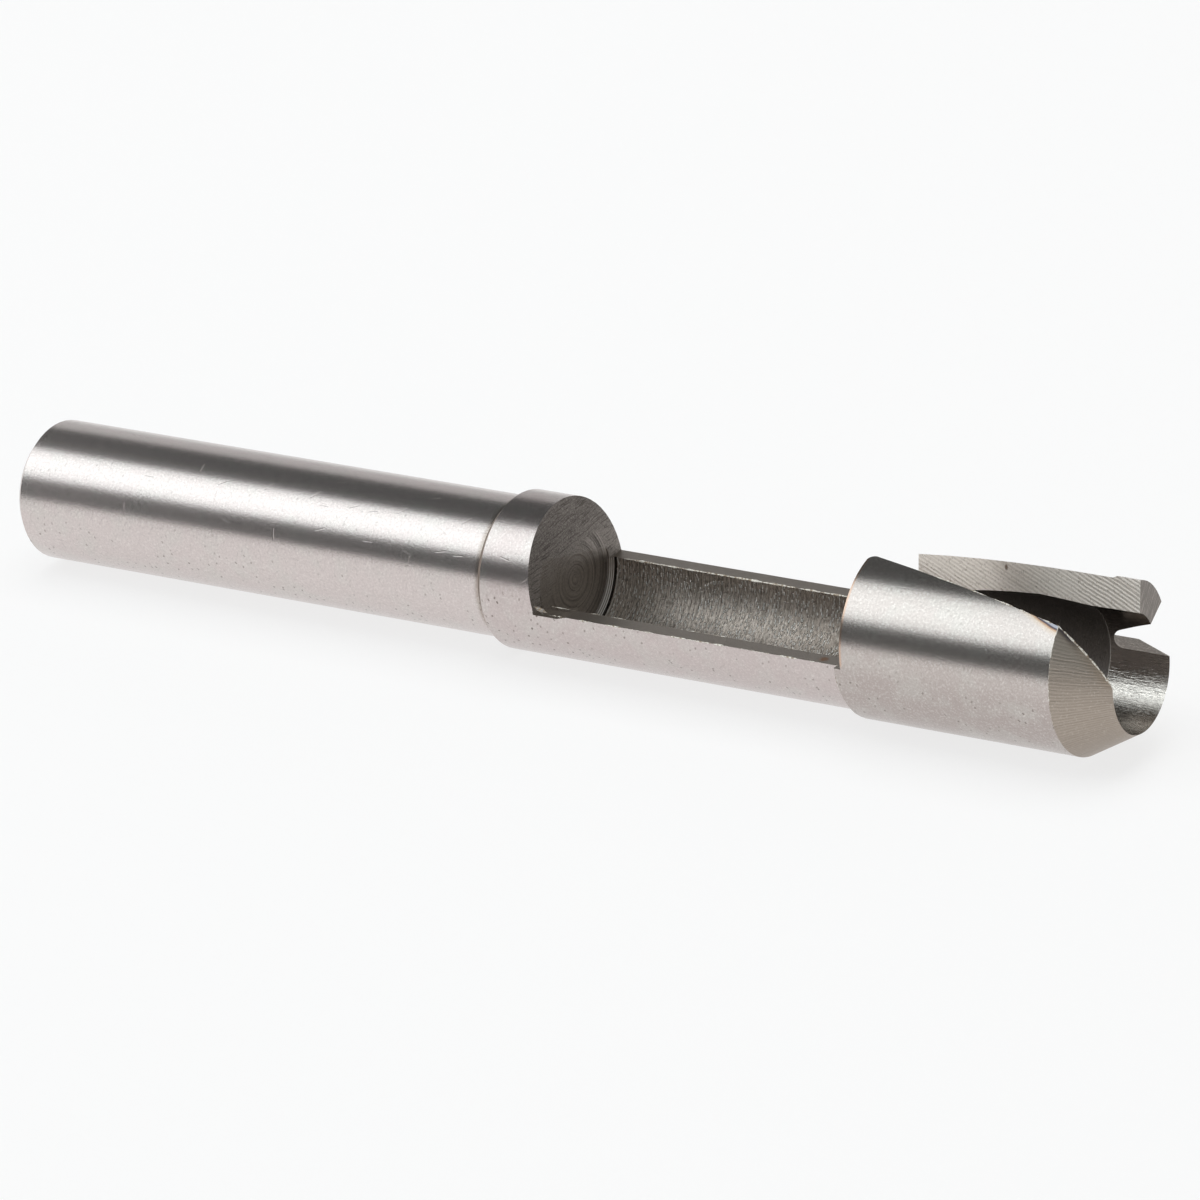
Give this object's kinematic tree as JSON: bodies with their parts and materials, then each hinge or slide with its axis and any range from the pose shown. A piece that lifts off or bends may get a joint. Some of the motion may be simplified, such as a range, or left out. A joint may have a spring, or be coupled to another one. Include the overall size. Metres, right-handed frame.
{
  "type": "plug cutter",
  "caption": "One-piece tubular plug cutter with a plain round shank, a side window that ejects the plugs, and a two-pronged cutting end.",
  "frame": {"origin": "on the tool's axis, at the shank's flat end face", "axes": "+X along the tool's axis towards the cutting end, +Z out of the side window"},
  "size_m": [0.1108, 0.0144, 0.0144],
  "materials": {
    "tool_steel": "ground tool steel, bright outside, dull and striped where milled and bored"
  },
  "bodies": {
    "root": {"cutter_body": "tool_steel"}
  },
  "joints": []
}
